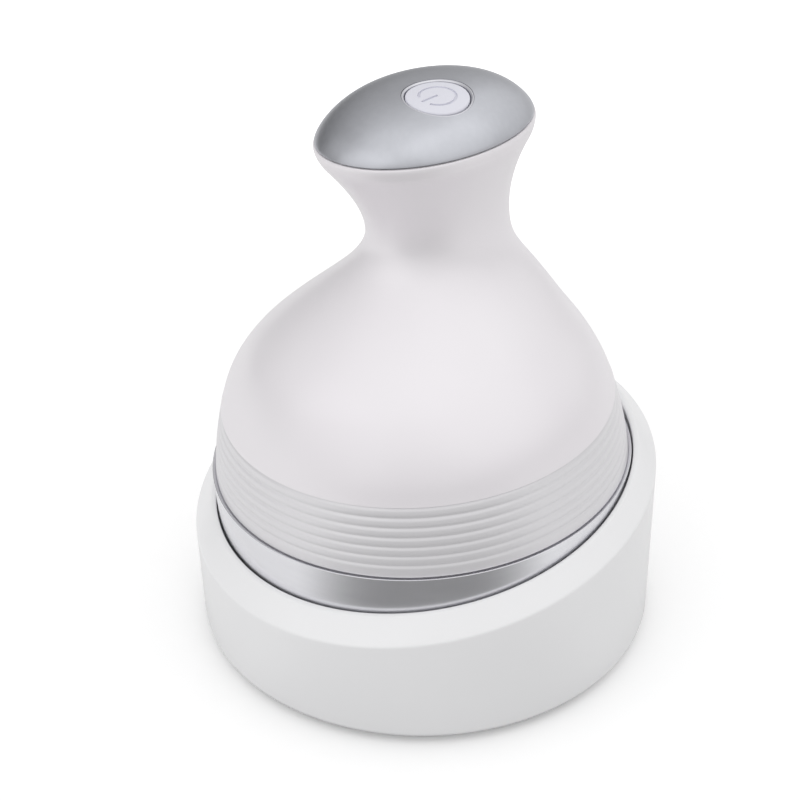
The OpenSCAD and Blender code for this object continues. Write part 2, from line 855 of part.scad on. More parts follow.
module button_cap() {
    top_r = button_r - 0.3;
    crown = [for (i = [5 : -1 : 0]) [top_r * i / 5, cap_top - cap_sag * pow(i / 5, 2)]];
    color("lavender") at_button() {
        rotate_extrude() polygon(concat(
            [[0, flange_down], [button_r, flange_down], [button_r, cap_top - cap_sag - 0.3]],
            crown
        ));
        up(flange_down - flange_len) cylinder(r = bezel_r - 0.15, h = flange_len + eps);
    }
}

stand_shell();
stand_cradle();
stand_base();
stand_foot();
stand_weight();
stand_board();
usb_port();
pin_sleeves();
pin_left();
pin_right();
upper_housing();
rib_collar();
trim_band();
base_plate();
mid_plate();
motor_plate();
bushings();
shaft_seals();
contact_pads();
gearbox();
motor();
chassis();
cell();
main_board();
top_plate();
button_bezel();
button_carrier();
switch_board();
tact_switch();
button_cap();
switch_stem();
drive_shaft();
drive_pinion();
drive_wheel();
spindle_1();
spindle_2();
spindle_3();
spindle_4();
ring_gear_1();
ring_gear_2();
ring_gear_3();
ring_gear_4();
carrier_1();
carrier_2();
carrier_3();
carrier_4();
claw_1();
claw_2();
claw_3();
claw_4();
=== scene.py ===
import json
import math

import bmesh
import bpy
from mathutils import Matrix, Vector


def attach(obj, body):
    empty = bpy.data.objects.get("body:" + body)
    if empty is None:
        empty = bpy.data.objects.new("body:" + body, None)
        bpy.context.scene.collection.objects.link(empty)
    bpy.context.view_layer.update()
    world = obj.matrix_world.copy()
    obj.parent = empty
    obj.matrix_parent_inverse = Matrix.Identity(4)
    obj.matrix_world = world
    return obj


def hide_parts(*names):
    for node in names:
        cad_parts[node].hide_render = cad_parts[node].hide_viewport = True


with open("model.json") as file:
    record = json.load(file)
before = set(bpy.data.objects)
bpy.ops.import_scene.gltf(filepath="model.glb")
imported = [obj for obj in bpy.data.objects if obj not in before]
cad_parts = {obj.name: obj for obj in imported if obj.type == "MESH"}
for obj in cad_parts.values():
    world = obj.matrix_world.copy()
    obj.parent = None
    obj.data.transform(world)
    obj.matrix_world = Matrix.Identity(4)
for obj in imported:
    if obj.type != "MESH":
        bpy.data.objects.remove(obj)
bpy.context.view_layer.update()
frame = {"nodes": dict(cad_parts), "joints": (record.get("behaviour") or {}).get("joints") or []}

MM = 0.001
JOINTS = {j["name"]: j for j in frame["joints"]}

# Sizes in millimetres. They are the part's own, apart from the grooves, which are shallower and
# softer here for their look, and the lip, which narrows the cup's mouth round the band.
BAND_R = 48.0
BAND_H = 13.4
COLLAR_R = BAND_R - 0.8
COLLAR_H = 15.4
SHOULDER_R = COLLAR_R - 3.1
COLLAR_TAPER = 0.1
GROOVES = 7
GROOVE_PITCH = 2.11
GROOVE_D = 0.22
GROOVE_SOFT = 0.42      # half width of a groove's soft dip
NECK_H = 55.5
NECK_HALF = 16.7
NECK_SHIFT = 8.6
SEAM_H = 77.2
SEAM_GAP = 0.3
SHOULDER_H = SEAM_H - 2.4
HEAD_HALF = 25.0
HEAD_SHIFT = 6.7
OVAL = 0.79
WALL = 2.1
LIP = 0.5
REST_W = 0.8
DOME_H = 8.6
PLATE_EDGE = 1.5
PLATE_T = 1.2
BUTTON_X = 6.2
BUTTON_Y = -1.4
BUTTON_R = 6.5
BEZEL_R = BUTTON_R + 0.75
AXIS_Y = -0.4
LINE_Z = 42.5036
STAND_R = 53.4
STAND_WALL = 2.4
FOOT_H = 1.5
INLET_W = 9.44
INLET_H = 3.66
INLET_Z = 6.68
SHELL_ROUND = 2.0
RIM_Z = LINE_Z - 3.9
RIM_TILT = math.radians(10.3)
RIM_DROP = 4.4
MOUTH_R = BAND_R + 0.7
RIM_R = MOUTH_R + 0.5
LIP_R = BAND_R + 0.35
HEAD_OFF = 17.0056
CLAW_R = 16.4056
FINGER_R = 2.2
FINGER_LEN = 13.0
TIP_R = 0.6 * FINGER_R
OUTER_FINGERS = 14
INNER_FINGERS = 7
BASE_W = -15.0
CARRIER_W = BASE_W - 1.2
PAD_W = CARRIER_W - 1.8
PAD_T = 2.4
HUB_R = 5.0

ROUND = 192          # steps round a turned piece


# --- placing ---------------------------------------------------------------

lift_axis = Vector(JOINTS["lift_off"]["axis"])
LEAN = math.atan2(-lift_axis.y, lift_axis.z)
DOCKED = Matrix.Translation((0, AXIS_Y, LINE_Z)) @ Matrix.Rotation(LEAN, 4, "X")
SCALE = Matrix.Scale(MM, 4)

PLATE_Y = HEAD_HALF - LIP
PLATE_X = HEAD_HALF * OVAL - LIP
SKIRT_IN = REST_W + 0.1


def dome_rise(share, height=DOME_H):
    """Height of the dome over its seam at a share of its half size."""
    return height * max(0.0, 1 - share**3) ** 0.8


def button_place():
    """The button's own axis, square to the dome, with zero on its surface."""
    share = math.hypot(BUTTON_X / PLATE_X, BUTTON_Y / PLATE_Y)
    fall = 2.4 * DOME_H * share * (1 - share**3) ** -0.2
    normal = Vector((fall * BUTTON_X / PLATE_X**2, fall * BUTTON_Y / PLATE_Y**2, 1)).normalized()
    spin = Matrix.Rotation(math.atan2(normal.y, normal.x), 4, "Z")
    tilt = Matrix.Rotation(math.acos(normal.z), 4, "Y")
    place = Matrix.Translation((BUTTON_X, HEAD_SHIFT + BUTTON_Y, SEAM_H + dome_rise(share)))
    return place @ spin @ tilt @ spin.inverted()


ON_HEAD = button_place()
BENDS_ABOVE = -2.0       # deeper parts of the button stay straight
CAP_FOLLOW = 0.6
CAP_SINK = 0.18
BUTTON = DOCKED @ ON_HEAD


def flush(co, follow=1.0):
    """Bends a point near the dome's surface to follow it, by a share, along the button's axis."""
    z = 0.0
    for _ in range(4):
        there = ON_HEAD @ Vector((co.x, co.y, z))
        share = math.hypot(there.x / PLATE_X, (there.y - HEAD_SHIFT) / PLATE_Y)
        z += SEAM_H + dome_rise(share) - there.z
    return Vector((co.x, co.y, co.z + follow * z)) if co.z > BENDS_ABOVE else co


def nearly_flush(co):
    """The cap is flatter than the dome round it."""
    return flush(co, CAP_FOLLOW) - Vector((0, 0, CAP_SINK))


# --- outlines ---------------------------------------------------------------


def bezier(points, t):
    """A point on a cubic curve through four control points."""
    weights = ((1 - t) ** 3, 3 * t * (1 - t) ** 2, 3 * t * t * (1 - t), t**3)
    return tuple(sum(w * p[i] for w, p in zip(weights, points)) for i in (0, 1))


def smooth(t):
    t = max(0.0, min(1.0, t))
    return t * t * (3 - 2 * t)


def arc(x, z, radius, start, end, steps):
    """Points on an arc in the outline's plane, angles in degrees."""
    turns = [math.radians(start + (end - start) * i / steps) for i in range(steps + 1)]
    return [(x + radius * math.cos(a), z + radius * math.sin(a)) for a in turns]


def soften(points, radius, steps=4, closed=True):
    """Rounds every corner of an outline with a small curve."""
    made = []
    count = len(points)
    for i, corner in enumerate(points):
        here = Vector(corner)
        if not closed and i in (0, count - 1):
            made.append(tuple(here))
            continue
        before = Vector(points[i - 1]) - here
        after = Vector(points[(i + 1) % count]) - here
        reach = min(radius, before.length * 0.45, after.length * 0.45)
        start = here + before.normalized() * reach
        end = here + after.normalized() * reach
        for k in range(steps + 1):
            t = k / steps
            made.append(tuple((1 - t) ** 2 * start + 2 * t * (1 - t) * here + t * t * end))
    return made


COLLAR_ROUND = (COLLAR_R - SHOULDER_R - COLLAR_TAPER * COLLAR_H) / COLLAR_H**2


def collar_radius(w):
    return COLLAR_R - COLLAR_TAPER * w - COLLAR_ROUND * w * w


def oval_at(w):
    """Width of the section at a height as a share of its depth."""
    start = COLLAR_H + 3
    return 1 - (1 - OVAL) * smooth((w - start) / (NECK_H - start - 9))


def shift_at(w):
    """How far the section at a height lies behind the axis."""
    start = COLLAR_H + 14
    if w < NECK_H:
        return NECK_SHIFT * smooth((w - start) / (NECK_H - start))
    return NECK_SHIFT + (HEAD_SHIFT - NECK_SHIFT) * smooth((w - NECK_H) / (SEAM_H - NECK_H))


def body_section(co):
    """Turns a point of a turned form into the body's oval, shifted section."""
    share = oval_at(co.z)
    if co.z > SHOULDER_H:
        share = 1 - HEAD_HALF * (1 - OVAL) / math.hypot(co.x, co.y)
    return Vector((co.x * share, co.y + shift_at(co.z), co.z))


def housing_outline():
    span = NECK_H - COLLAR_H
    slope = COLLAR_TAPER + 2 * COLLAR_ROUND * COLLAR_H
    bell = (
        (SHOULDER_R, COLLAR_H),
        (SHOULDER_R - 0.67 * span * slope, COLLAR_H + 0.67 * span),
        (NECK_HALF, NECK_H - 0.32 * span),
        (NECK_HALF, NECK_H),
    )
    rise = SHOULDER_H - NECK_H
    flare = (
        (NECK_HALF, NECK_H),
        (NECK_HALF, NECK_H + 0.34 * rise),
        (NECK_HALF + 0.51 * (HEAD_HALF - NECK_HALF), NECK_H + 0.73 * rise),
        (HEAD_HALF, SHOULDER_H),
    )
    outside = [bezier(bell, i / 60) for i in range(60)] + [bezier(flare, i / 40) for i in range(36)]
    r, w = outside[-1]
    before = outside[-2]
    shoulder = (
        (r, w),
        (r + 3 * (r - before[0]), w + 3 * (w - before[1])),
        (HEAD_HALF + 0.2, SEAM_H - 1.1),
        (HEAD_HALF - 0.8 * LIP, SEAM_H - SEAM_GAP - 0.04),
    )
    rim = [bezier(shoulder, i / 14) for i in range(1, 15)]
    rest = HEAD_HALF - LIP - REST_W
    ledge = [(HEAD_HALF - 1.1 * LIP, SEAM_H - SEAM_GAP), (rest + 0.15, SEAM_H - SEAM_GAP),
             (rest, SEAM_H - SEAM_GAP - 0.15), (rest, SEAM_H - PLATE_EDGE),
             (rest - 1.5, SEAM_H - PLATE_EDGE)]
    inside = [(r - WALL, w) for r, w in reversed(outside[:-4:3])]
    start = [(SHOULDER_R - 0.45, COLLAR_H + 0.02), (SHOULDER_R + 0.01, COLLAR_H + 0.2)]
    return start + outside[1:] + rim + ledge + inside


# --- mesh tools -------------------------------------------------------------


def turned(outline, deform=None, steps=ROUND, closed=True):
    """A mesh spun from an outline of (radius, height) points."""
    bm = bmesh.new()
    verts = [bm.verts.new((r, 0, z)) for r, z in outline]
    edges = [bm.edges.new(pair) for pair in zip(verts, verts[1:])]
    if closed:
        edges.append(bm.edges.new((verts[-1], verts[0])))
    bmesh.ops.spin(bm, geom=verts + edges, axis=(0, 0, 1), cent=(0, 0, 0), dvec=(0, 0, 0),
                   angle=math.tau, steps=steps, use_merge=True, use_duplicate=False)
    bmesh.ops.remove_doubles(bm, verts=bm.verts, dist=1e-4)
    if deform:
        for v in bm.verts:
            v.co = deform(v.co.copy())
    bmesh.ops.recalc_face_normals(bm, faces=bm.faces)
    return bm


def finish_piece(name, bm, place, body, material, replaces=(), angle=32):
    """Puts a mesh in its place as a smooth piece that rides on a body."""
    bmesh.ops.transform(bm, matrix=SCALE @ place, verts=bm.verts)
    mesh = bpy.data.meshes.new(name)
    for face in bm.faces:
        face.smooth = True
    for edge in bm.edges:
        if len(edge.link_faces) == 2 and edge.calc_face_angle(0) > math.radians(angle):
            edge.smooth = False
    bm.to_mesh(mesh)
    bm.free()
    mesh.materials.append(material)
    piece = bpy.data.objects.new(name, mesh)
    bpy.context.scene.collection.objects.link(piece)
    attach(piece, body)
    if replaces:
        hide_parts(*replaces)
    return piece


def carve(piece, cutter_mesh):
    """Cuts a closed mesh out of a piece and keeps the result as its mesh."""
    tool = bpy.data.objects.new("cutter", cutter_mesh)
    bpy.context.scene.collection.objects.link(tool)
    cut = piece.modifiers.new("cut", "BOOLEAN")
    cut.operation = "DIFFERENCE"
    cut.solver = "EXACT"
    cut.object = tool
    depsgraph = bpy.context.evaluated_depsgraph_get()
    carved = bpy.data.meshes.new_from_object(piece.evaluated_get(depsgraph))
    piece.modifiers.clear()
    piece.data = carved
    bpy.data.objects.remove(tool)
    return piece


def as_mesh(bm, place):
    bmesh.ops.transform(bm, matrix=SCALE @ place, verts=bm.verts)
    mesh = bpy.data.meshes.new("cutter")
    bm.to_mesh(mesh)
    bm.free()
    return mesh


# --- materials --------------------------------------------------------------


def new_group(name, inputs, outputs):
    group = bpy.data.node_groups.new(name, "ShaderNodeTree")
    for label, kind, value in inputs:
        socket = group.interface.new_socket(label, in_out="INPUT", socket_type=kind)
        if value is not None:
            socket.default_value = value
    for label, kind in outputs:
        group.interface.new_socket(label, in_out="OUTPUT", socket_type=kind)
    return group, group.nodes.new("NodeGroupInput"), group.nodes.new("NodeGroupOutput")


def moulded_skin_group():
    """The fine orange peel of moulded plastic and its faint tone."""
    group, given, out = new_group(
        "moulded skin",
        [("Vector", "NodeSocketVector", None), ("Size", "NodeSocketFloat", 900.0)],
        [("Height", "NodeSocketFloat"), ("Tone", "NodeSocketFloat")],
    )
    add = group.nodes.new
    fine = add("ShaderNodeTexNoise")
    fine.inputs["Detail"].default_value = 3
    group.links.new(given.outputs["Vector"], fine.inputs["Vector"])
    group.links.new(given.outputs["Size"], fine.inputs["Scale"])
    broad = add("ShaderNodeTexNoise")
    broad.inputs["Scale"].default_value = 26
    broad.inputs["Detail"].default_value = 2
    group.links.new(given.outputs["Vector"], broad.inputs["Vector"])
    group.links.new(fine.outputs["Fac"], out.inputs["Height"])
    group.links.new(broad.outputs["Fac"], out.inputs["Tone"])
    return group


def brushed_group():
    """Fine turned or brushed lines: noise drawn out along the brushing."""
    group, given, out = new_group(
        "brushed lines",
        [("Vector", "NodeSocketVector", None), ("Stretch", "NodeSocketVector", (1, 1, 1)),
         ("Size", "NodeSocketFloat", 400.0)],
        [("Height", "NodeSocketFloat"), ("Streak", "NodeSocketFloat")],
    )
    add = group.nodes.new
    drawn = add("ShaderNodeVectorMath")
    drawn.operation = "MULTIPLY"
    group.links.new(given.outputs["Vector"], drawn.inputs[0])
    group.links.new(given.outputs["Stretch"], drawn.inputs[1])
    lines = add("ShaderNodeTexNoise")
    lines.inputs["Detail"].default_value = 4
    group.links.new(drawn.outputs["Vector"], lines.inputs["Vector"])
    group.links.new(given.outputs["Size"], lines.inputs["Scale"])
    group.links.new(lines.outputs["Fac"], out.inputs["Height"])
    group.links.new(lines.outputs["Fac"], out.inputs["Streak"])
    return group


MOULDED = moulded_skin_group()
BRUSHED = brushed_group()


class Finish:
    """A material under way: its tree, its shader and object coordinates."""

    def __init__(self, name):
        self.material = bpy.data.materials.new(name)
        self.material.use_nodes = True
        self.tree = self.material.node_tree
        self.shader = self.tree.nodes["Principled BSDF"]
        self.place = self.tree.nodes.new("ShaderNodeTexCoord").outputs["Object"]

    def link(self, source, target):
        self.tree.links.new(source, target)

    def group(self, group, **values):
        node = self.tree.nodes.new("ShaderNodeGroup")
        node.node_tree = group
        self.link(self.place, node.inputs["Vector"])
        for label, value in values.items():
            node.inputs[label].default_value = value
        return node

    def spread(self, fac, low, high, target):
        """Drives a number socket between two values by a mask."""
        node = self.tree.nodes.new("ShaderNodeMapRange")
        node.inputs["From Min"].default_value = 0.3
        node.inputs["From Max"].default_value = 0.7
        node.inputs["To Min"].default_value = low
        node.inputs["To Max"].default_value = high
        self.link(fac, node.inputs["Value"])
        self.link(node.outputs["Result"], self.shader.inputs[target])

    def tint(self, fac, low, high):
        """Drives the base colour between two colours by a mask."""
        node = self.tree.nodes.new("ShaderNodeValToRGB")
        node.color_ramp.elements[0].position = 0.35
        node.color_ramp.elements[0].color = (*low, 1)
        node.color_ramp.elements[1].position = 0.65
        node.color_ramp.elements[1].color = (*high, 1)
        self.link(fac, node.inputs["Fac"])
        self.link(node.outputs["Color"], self.shader.inputs["Base Color"])

    def relief(self, height, strength, distance):
        node = self.tree.nodes.new("ShaderNodeBump")
        node.inputs["Strength"].default_value = strength
        node.inputs["Distance"].default_value = distance
        self.link(height, node.inputs["Height"])
        self.link(node.outputs["Normal"], self.shader.inputs["Normal"])

    def set(self, **values):
        for label, value in values.items():
            self.shader.inputs[label.replace("_", " ")].default_value = value


def plastic(name, low, high, rough=(0.3, 0.36), coat=0.0, grain=900.0, bump=0.05, sheen=0.0, pearl=0.0):
    """Moulded plastic, from its two tones and its roughness range."""
    made = Finish(name)
    skin = made.group(MOULDED, Size=grain)
    made.tint(skin.outputs["Tone"], low, high)
    made.spread(skin.outputs["Tone"], *rough, "Roughness")
    made.relief(skin.outputs["Height"], bump, 0.0001)
    made.set(Coat_Weight=coat, Coat_Roughness=0.18, Sheen_Weight=sheen, Metallic=pearl)
    return made.material


def metal(name, low, high, rough=(0.2, 0.28), stretch=(1, 1, 1), size=400.0, bump=0.03, brush=0.0):
    """Brushed, turned or polished metal."""
    made = Finish(name)
    lines = made.group(BRUSHED, Stretch=stretch, Size=size)
    made.tint(lines.outputs["Streak"], low, high)
    made.spread(lines.outputs["Streak"], *rough, "Roughness")
    made.relief(lines.outputs["Height"], bump, 0.00005)
    made.set(Metallic=1.0, Anisotropic=brush, Anisotropic_Rotation=0.25)
    return made.material


PEARL = plastic("pearl_white", (0.85, 0.82, 0.85), (0.87, 0.845, 0.87), (0.38, 0.42), 0.3, pearl=0.25)
# The collar is the housing's pearl plastic made darker: painted shade for the ribs, which look darker than
# the body.
COLLAR_PEARL_PAINTED_SHADE = plastic("collar_pearl", (0.765, 0.755, 0.775), (0.785, 0.775, 0.795),
                       (0.36, 0.40), 0.3, pearl=0.35)
STAND_WHITE = plastic("stand_white", (0.875, 0.875, 0.885), (0.885, 0.885, 0.895), (0.29, 0.33), 0.5)
CRADLE_WHITE = plastic("cradle_white", (0.78, 0.78, 0.79), (0.80, 0.80, 0.81), (0.50, 0.56))
INNER = plastic("inner_plastic", (0.76, 0.76, 0.76), (0.80, 0.80, 0.80), (0.45, 0.55))
BASE_GREY = plastic("base_grey", (0.25, 0.26, 0.28), (0.28, 0.29, 0.31), (0.55, 0.65), bump=0.3)
RUBBER = plastic("foot_rubber", (0.02, 0.02, 0.022), (0.03, 0.03, 0.032), (0.7, 0.8), bump=0.3)
SILICONE = plastic("claw_silicone", (0.66, 0.66, 0.71), (0.70, 0.70, 0.75), (0.42, 0.5), sheen=0.3)
BUTTON_LILAC = plastic("button_lilac", (0.71, 0.71, 0.78), (0.74, 0.74, 0.81), (0.30, 0.36), 0.2)
BOARD = plastic("circuit_board", (0.02, 0.16, 0.06), (0.03, 0.20, 0.08), (0.35, 0.5), 0.3)
CELL = plastic("cell_wrap", (0.03, 0.09, 0.35), (0.04, 0.11, 0.40), (0.25, 0.35), 0.3)
NYLON = plastic("gear_nylon", (0.72, 0.70, 0.62), (0.76, 0.74, 0.66), (0.45, 0.55))
BLACK = plastic("switch_black", (0.02, 0.02, 0.02), (0.03, 0.03, 0.03), (0.4, 0.5))
PLATE_METAL = metal("plate_metal", (0.56, 0.57, 0.61), (0.58, 0.59, 0.63), (0.30, 0.34), (1, 1, 1), 700)
BAND_METAL = metal("band_metal", (0.80, 0.80, 0.83), (0.82, 0.82, 0.85),
                   (0.16, 0.2), (1, 1, 12), 60, brush=0.7)
BEZEL_METAL = metal("bezel_metal", (0.70, 0.70, 0.74), (0.74, 0.74, 0.78), (0.35, 0.42))
STEEL = metal("spindle_steel", (0.50, 0.50, 0.52), (0.58, 0.58, 0.60), (0.2, 0.35), (1, 1, 10), 300)
GOLD = metal("gold_contact", (0.80, 0.55, 0.20), (0.86, 0.61, 0.25), (0.2, 0.3))
BRASS = metal("pinion_brass", (0.70, 0.48, 0.18), (0.76, 0.54, 0.22), (0.25, 0.35))
GEARBOX = metal("gearbox_metal", (0.42, 0.43, 0.45), (0.48, 0.49, 0.51),
                (0.3, 0.42), (1, 1, 8), 300, bump=0.2)
PORT = metal("port_steel", (0.56, 0.56, 0.58), (0.62, 0.62, 0.64), (0.22, 0.32))
MOTOR = metal("motor_steel", (0.46, 0.47, 0.49), (0.52, 0.53, 0.55), (0.25, 0.35), (1, 1, 12), 300)
CARRIER = plastic("carrier_white", (0.80, 0.80, 0.82), (0.83, 0.83, 0.85), (0.38, 0.46))
SEAL = plastic("seal_rubber", (0.03, 0.03, 0.033), (0.04, 0.04, 0.043), (0.6, 0.7), bump=0.2)
BRONZE = metal("bearing_bronze", (0.45, 0.27, 0.13), (0.50, 0.31, 0.16), (0.4, 0.5), bump=0.3)
BALLAST = metal("ballast_steel", (0.30, 0.31, 0.33), (0.36, 0.37, 0.39), (0.4, 0.55), bump=0.3)

NODE_FINISH = {
    "stand_base": BASE_GREY, "stand_weight": BALLAST, "stand_board": BOARD, "usb_port": PORT,
    "pin_sleeves": GOLD, "pin_left": GOLD, "pin_right": GOLD, "base_plate": INNER,
    "mid_plate": INNER, "motor_plate": INNER, "bushings": BRONZE, "shaft_seals": SEAL,
    "contact_pads": GOLD, "gearbox": GEARBOX, "motor": MOTOR, "chassis": INNER, "cell": CELL,
    "main_board": BOARD, "button_carrier": INNER, "switch_board": BOARD, "tact_switch": BLACK,
    "switch_stem": BUTTON_LILAC, "drive_shaft": STEEL, "drive_pinion": BRASS,
    "drive_wheel": NYLON, "stand_foot": RUBBER, "stand_cradle": CRADLE_WHITE,
}
for k in range(1, 5):
    NODE_FINISH[f"spindle_{k}"] = STEEL
    NODE_FINISH[f"ring_gear_{k}"] = NYLON
    NODE_FINISH[f"carrier_{k}"] = CARRIER


for name, material in NODE_FINISH.items():
    frame["nodes"][name].data.materials.clear()
    frame["nodes"][name].data.materials.append(material)


# --- massager ---------------------------------------------------------------

finish_piece("housing", turned(housing_outline(), body_section), DOCKED, "massager", PEARL,
             ["upper_housing"])


def collar_outline():
    """Rounded ribs between soft grooves, then the inner wall."""
    outside = [(COLLAR_R - 0.5, -0.25), (COLLAR_R - 0.05, 0.02)]
    first = COLLAR_H - (GROOVES - 1) * GROOVE_PITCH
    steps = 150
    for i in range(1, steps + 1):
        w = COLLAR_H * i / steps
        phase = (w - first) / GROOVE_PITCH
        near = abs(phase - round(phase)) * GROOVE_PITCH
        dip = GROOVE_D * math.exp(-((near / GROOVE_SOFT) ** 2)) if w > first - GROOVE_PITCH / 2 else 0
        outside.append((collar_radius(w) - dip, w))
    inside = [(collar_radius(w) - WALL, w) for w in (COLLAR_H, COLLAR_H / 2, -0.25)]
    return outside + inside


finish_piece("collar", turned(collar_outline()), DOCKED, "massager", COLLAR_PEARL_PAINTED_SHADE,
             ["rib_collar"])

band_outline = soften([(BAND_R - 1.2, -BAND_H), (BAND_R, -BAND_H), (BAND_R, -0.05), (BAND_R - 0.15, 0),
                       (BAND_R - 0.8, -0.25), (COLLAR_R - WALL, -0.25), (COLLAR_R - WALL, -1.6),
                       (BAND_R - 1.2, -1.6)], 0.12)
finish_piece("band", turned(band_outline), DOCKED, "massager", BAND_METAL, ["trim_band"])


def dome_outline():
    """The dome over its skirt, with the inner face below."""
    steps = 72
    over = [(PLATE_Y * math.cos(a), dome_rise(math.cos(a)))
            for a in (math.pi / 2 * i / steps for i in range(1, steps + 1))]
    hollow = PLATE_Y - SKIRT_IN - PLATE_T
    under = [(hollow * math.cos(a), dome_rise(math.cos(a), DOME_H - PLATE_T))
             for a in (math.pi / 2 * i / 24 for i in range(24, -1, -1))]
    skirt = PLATE_Y - SKIRT_IN
    edge = [(hollow, -PLATE_EDGE), (skirt - 0.2, -PLATE_EDGE), (skirt, -PLATE_EDGE + 0.2), (skirt, 0),
            (PLATE_Y - 0.12, 0), (PLATE_Y - 0.02, 0.06)]
    return over + under + edge


def plate_section(co):
    """Gives the turned dome its oval, with the skirt's wall as thick all round."""
    share = PLATE_X / PLATE_Y
    if co.z <= 0:
        share = 1 - (PLATE_Y - PLATE_X) / math.hypot(co.x, co.y)
    return Vector((co.x * share, co.y + HEAD_SHIFT, co.z + SEAM_H))


plate = finish_piece("top_plate_skin", turned(dome_outline(), plate_section), DOCKED, "massager",
                     PLATE_METAL, ["top_plate"])
hole = turned([(0, -6), (BEZEL_R + 0.05, -6), (BEZEL_R + 0.05, 5), (0, 5)], steps=128, closed=False)
carve(plate, as_mesh(hole, BUTTON))

BEZEL_H = 4.4
bezel_outline = soften([(BUTTON_R + 0.22, -BEZEL_H), (BEZEL_R, -BEZEL_H), (BEZEL_R, -0.06),
                        (BUTTON_R + 0.5, -0.08), (BUTTON_R + 0.22, -0.35)], 0.1)
finish_piece("bezel", turned(bezel_outline, flush, 128), BUTTON, "massager", BEZEL_METAL,
             ["button_bezel"])


def button_outline():
    side = [(0, -BEZEL_H - 0.3), (BUTTON_R, -BEZEL_H - 0.3), (BUTTON_R, -0.7)]
    rounding = arc(BUTTON_R - 0.35, -0.6, 0.35, 0, 90, 6)
    crown = [((BUTTON_R - 0.35) * (1 - i / 12), -0.25 + 0.1 * smooth(i / 6)) for i in range(1, 13)]
    return side + rounding + crown


cap = finish_piece("button_cap_skin", turned(button_outline(), nearly_flush, 128, False), BUTTON,
                   "button", BUTTON_LILAC, ["button_cap"])


def power_symbol():
    """A ring with a gap and a stroke through the gap, as a cutter."""
    bm = bmesh.new()
    ring, stroke, half = 3.7, 0.3, 26
    box = [bm.verts.new((ring + dx, 0, dz)) for dx, dz in
           ((-stroke, -0.5), (stroke, -0.5), (stroke, 0.8), (-stroke, 0.8))]
    face = bm.faces.new(box)
    turn = Matrix.Rotation(math.radians(-90 + half), 3, "Z")
    bmesh.ops.rotate(bm, verts=bm.verts, cent=(0, 0, 0), matrix=turn)
    made = bmesh.ops.spin(bm, geom=[face], axis=(0, 0, 1), cent=(0, 0, 0), dvec=(0, 0, 0),
                          angle=math.radians(360 - 2 * half), steps=48, use_merge=False)
    bmesh.ops.recalc_face_normals(bm, faces=bm.faces)
    bar = bmesh.ops.create_cube(bm, size=1)["verts"]
    bmesh.ops.scale(bm, verts=bar, vec=(2 * stroke, 4.1, 1.3))
    bmesh.ops.translate(bm, verts=bar, vec=(0, -2.05, 0.15))
    for v in bm.verts:
        v.co = nearly_flush(v.co)
    return bm


carve(cap, as_mesh(power_symbol(), BUTTON))


# --- kneading heads ---------------------------------------------------------


def finger_outline():
    tip = arc(0, -FINGER_LEN + TIP_R, TIP_R, 0, -90, 8)
    return [(0, 0.3), (FINGER_R + 0.5, 0.3), (FINGER_R + 0.1, -0.6), (FINGER_R - 0.05, -1.4)] + tip


def finger_pad(k):
    low = PAD_W - PAD_T
    bm = turned(soften([(HUB_R, low), (CLAW_R, low), (CLAW_R, PAD_W + 1.4), (CLAW_R - 1.4, PAD_W + 1.4),
                        (CLAW_R - 1.4, PAD_W), (HUB_R, PAD_W)], 0.9), steps=96)
    outer = CLAW_R - FINGER_R - 0.8
    rings = ((OUTER_FINGERS, outer), (INNER_FINGERS, outer * 0.48 + 0.9))
    for count, radius in rings:
        for i in range(count):
            one = turned(finger_outline(), steps=20, closed=False)
            angle = math.tau * i / count
            place = Matrix.Translation((radius * math.cos(angle), radius * math.sin(angle), low))
            mesh = bpy.data.meshes.new("finger")
            bmesh.ops.transform(one, matrix=place, verts=one.verts)
            one.to_mesh(mesh)
            one.free()
            bm.from_mesh(mesh)
            bpy.data.meshes.remove(mesh)
    side = ((1, 1), (-1, 1), (-1, -1), (1, -1))[k - 1]
    place = DOCKED @ Matrix.Translation((side[0] * HEAD_OFF, side[1] * HEAD_OFF, 0))
    finish_piece(f"fingers_{k}", bm, place, f"head_{k}", SILICONE, [f"claw_{k}"], 50)


for k in range(1, 5):
    finger_pad(k)


# --- stand ------------------------------------------------------------------


TOP = 100.0          # heights above this in an outline are measured from the rim


def stand_section(co):
    """Brings an outline's upper part down onto the slanted rim."""
    if co.z < TOP - 50:
        return co
    y = co.y
    if math.hypot(co.x, co.y) < RIM_R - 0.1:
        y += AXIS_Y - (RIM_Z + co.y * math.tan(RIM_TILT) - LINE_Z) * math.tan(LEAN)
    return Vector((co.x, y, RIM_Z + y * math.tan(RIM_TILT) + co.z - TOP))


def stand_outline():
    bottom = arc(STAND_R - SHELL_ROUND, FOOT_H + SHELL_ROUND, SHELL_ROUND, -90, 0, 10)
    corner = soften([(STAND_R, TOP - 12), (STAND_R, TOP - RIM_DROP), (RIM_R, TOP),
                     (LIP_R, TOP), (LIP_R, TOP - 0.9), (MOUTH_R, TOP - 1.5), (MOUTH_R, TOP - 3)],
                    0.45, 6, closed=False)
    inner = [(STAND_R - STAND_WALL, TOP - 8), (STAND_R - STAND_WALL, FOOT_H)]
    return bottom + corner + inner


cup = finish_piece("stand_cup", turned(stand_outline(), stand_section, 256), Matrix.Identity(4),
                   "stand", STAND_WHITE, ["stand_shell"], 40)


def inlet_slot():
    """The rounded slot for the charging inlet, as a cutter through the back wall."""
    bm = bmesh.new()
    half, r = (INLET_W - INLET_H) / 2, INLET_H / 2
    ring = [bm.verts.new((half + x, 0, z)) for x, z in arc(0, 0, r, -90, 90, 16)]
    ring += [bm.verts.new((x - half, 0, z)) for x, z in arc(0, 0, r, 90, 270, 16)]
    face = bm.faces.new(ring)
    pulled = bmesh.ops.extrude_face_region(bm, geom=[face])["geom"]
    bmesh.ops.translate(bm, verts=[g for g in pulled if isinstance(g, bmesh.types.BMVert)], vec=(0, -8, 0))
    bmesh.ops.recalc_face_normals(bm, faces=bm.faces)
    return bm


